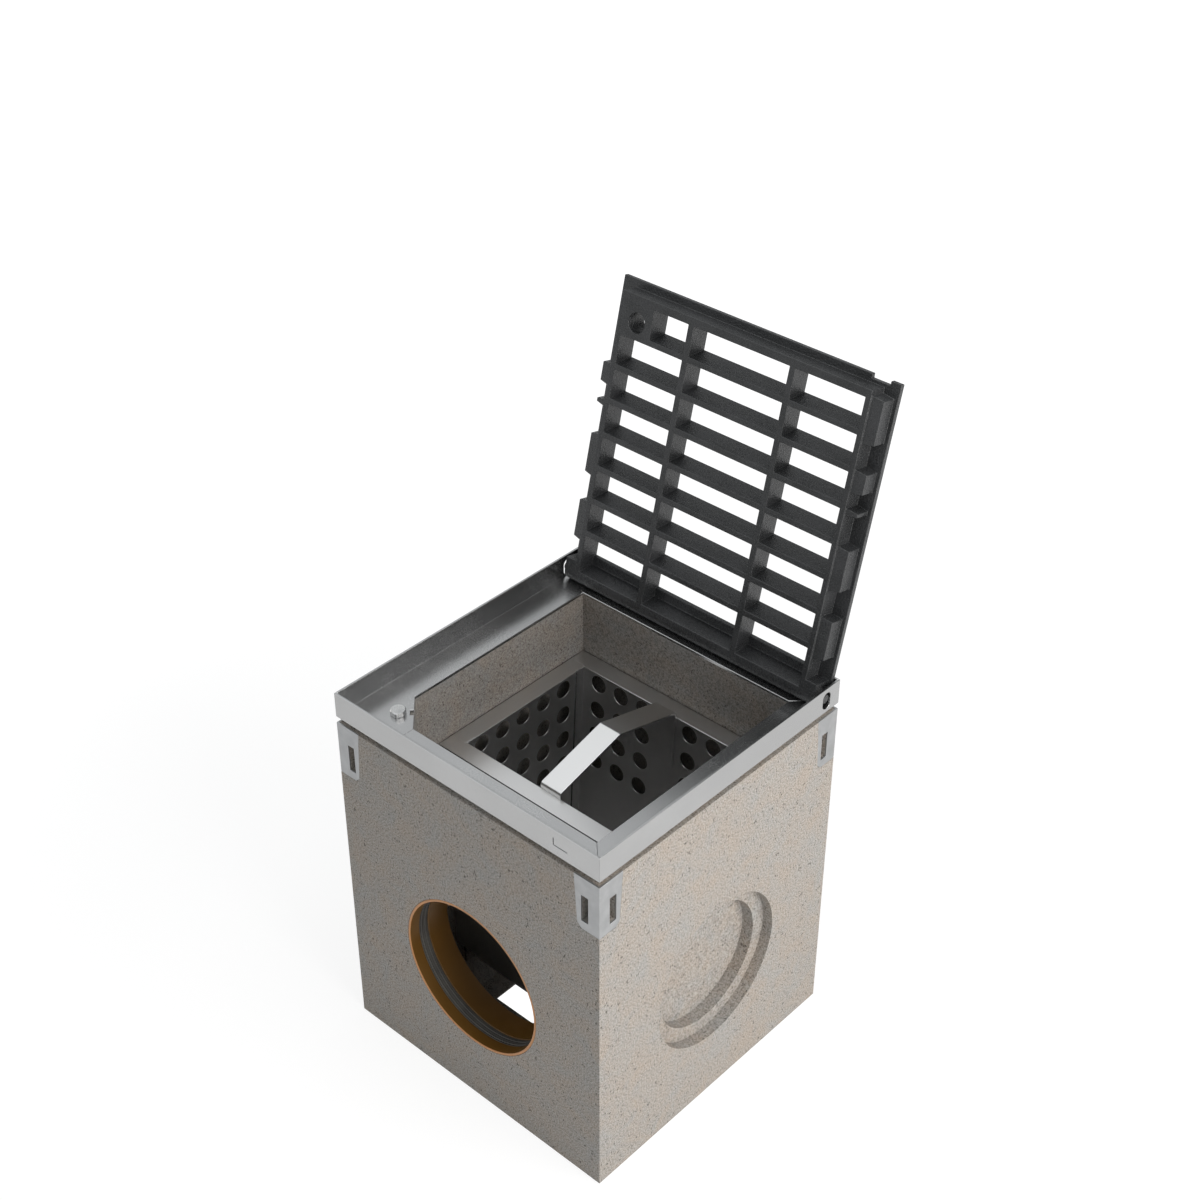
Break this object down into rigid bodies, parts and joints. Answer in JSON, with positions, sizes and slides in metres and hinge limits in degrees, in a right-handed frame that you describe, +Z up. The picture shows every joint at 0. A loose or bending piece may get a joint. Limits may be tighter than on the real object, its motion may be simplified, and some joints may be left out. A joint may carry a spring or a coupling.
{
  "type": "catch basin",
  "caption": "Square concrete catch basin with steel edge frame, hinged cast grate, lift-out perforated silt bucket, odour baffle and round side outlet.",
  "frame": {"origin": "centre of the body's base rim, on the plane it stands on", "axes": "+Z up, -Y towards the pipe outlet, +X towards the knock-out, grate hinged along +Y"},
  "size_m": [0.4, 0.4803, 0.8422],
  "materials": {
    "polymer_concrete": "matt, fine speckle",
    "frame_steel": "satin",
    "zinc": "galvanised, matt",
    "orange_pvc": "satin",
    "grey_seal": "matt",
    "black_cast_iron": "dip coated, satin",
    "bolt_steel": "bright",
    "stainless": "brushed"
  },
  "bodies": {
    "basin": {"body": "polymer_concrete", "frame_front": "frame_steel", "frame_right": "frame_steel", "frame_back": "frame_steel", "frame_left": "frame_steel", "lock_nut": "zinc", "anchor_front": "zinc", "anchor_right": "zinc", "anchor_back": "zinc", "anchor_left": "zinc", "pipe_socket": "orange_pvc", "pipe_seal": "grey_seal"},
    "grate": {"grate": "black_cast_iron", "hinge_pin_left": "black_cast_iron", "hinge_pin_right": "black_cast_iron"},
    "bucket": {"bucket_front": "stainless", "bucket_back": "stainless", "bucket_left": "stainless", "bucket_right": "stainless", "bucket_base": "stainless", "bucket_handle": "stainless"},
    "baffle": {"baffle_plate": "stainless"},
    "bolt": {"lock_bolt": "bolt_steel"}
  },
  "joints": [
    {"name": "grate_hinge", "type": "hinge", "parent": "basin", "child": "grate", "pos_m": [0, 0.1765, 0.4842], "axis": [-1, 0, 0], "range_deg": [-103.8, 0]},
    {"name": "bucket_lift", "type": "slide", "parent": "basin", "child": "bucket", "axis": [0, 0, 1], "range_m": [0, 0.759]},
    {"name": "baffle_lift", "type": "slide", "parent": "basin", "child": "baffle", "axis": [0, 0, 1], "range_m": [0, 0.515]},
    {"name": "bolt_lift", "type": "slide", "parent": "basin", "child": "bolt", "axis": [0, 0, 1], "range_m": [0, 0.044]}
  ]
}
